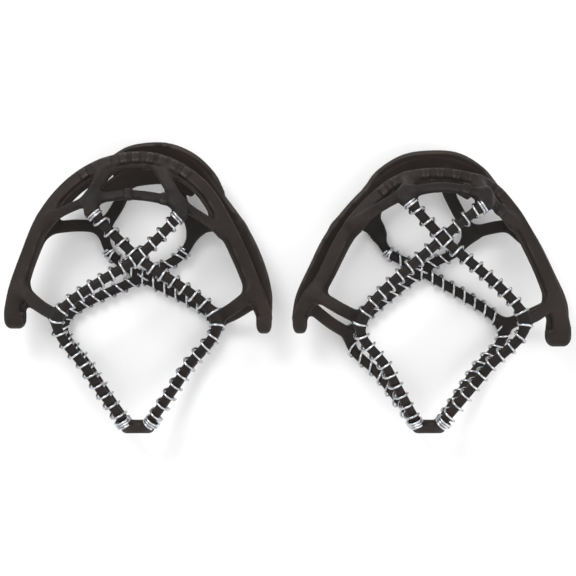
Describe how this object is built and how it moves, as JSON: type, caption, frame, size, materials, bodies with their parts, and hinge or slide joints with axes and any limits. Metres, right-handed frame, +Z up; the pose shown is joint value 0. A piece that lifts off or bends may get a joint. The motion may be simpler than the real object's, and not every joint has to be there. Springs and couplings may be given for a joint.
{
  "type": "walking traction device pair",
  "caption": "Pair of stretch-on rubber walking traction devices with steel coil-wrapped crossed straps, each folded flat in two",
  "frame": {"origin": "centre of the bounding box at floor level, with the pair lying folded on its heel halves", "axes": "+X from the left device to the right device, +Y from the centre bars to the rims, +Z up from the floor"},
  "size_m": [0.2909, 0.1504, 0.0498],
  "materials": {
    "rubber": "matte moulded natural rubber, warm brown-black",
    "steel": "bright zinc-plated spring wire"
  },
  "bodies": {
    "left_heel_half": {"left_heel_band": "rubber", "left_heel_web": "rubber", "left_centre_bar": "rubber", "left_side_loop_left": "rubber", "left_side_loop_right": "rubber", "left_heel_coil_left": "steel", "left_heel_coil_right": "steel"},
    "right_heel_half": {"right_heel_band": "rubber", "right_heel_web": "rubber", "right_centre_bar": "rubber", "right_side_loop_left": "rubber", "right_side_loop_right": "rubber", "right_heel_coil_left": "steel", "right_heel_coil_right": "steel"},
    "left_toe_half": {"left_toe_band": "rubber", "left_toe_web": "rubber", "left_toe_coil_left": "steel", "left_toe_coil_right": "steel"},
    "right_toe_half": {"right_toe_band": "rubber", "right_toe_web": "rubber", "right_toe_coil_left": "steel", "right_toe_coil_right": "steel"}
  },
  "joints": [
    {"name": "left_fold", "type": "hinge", "parent": "left_heel_half", "child": "left_toe_half", "pos_m": [-0.07715, -0.07167, 0.0249], "axis": [1, 0, 0], "range_deg": [0, 20]},
    {"name": "right_apart", "type": "slide", "parent": "left_heel_half", "child": "right_heel_half", "axis": [1, 0, 0], "range_m": [0, 0.12]},
    {"name": "right_fold", "type": "hinge", "parent": "right_heel_half", "child": "right_toe_half", "pos_m": [0.07265, -0.07167, 0.0249], "axis": [1, 0, 0], "range_deg": [0, 20]}
  ]
}
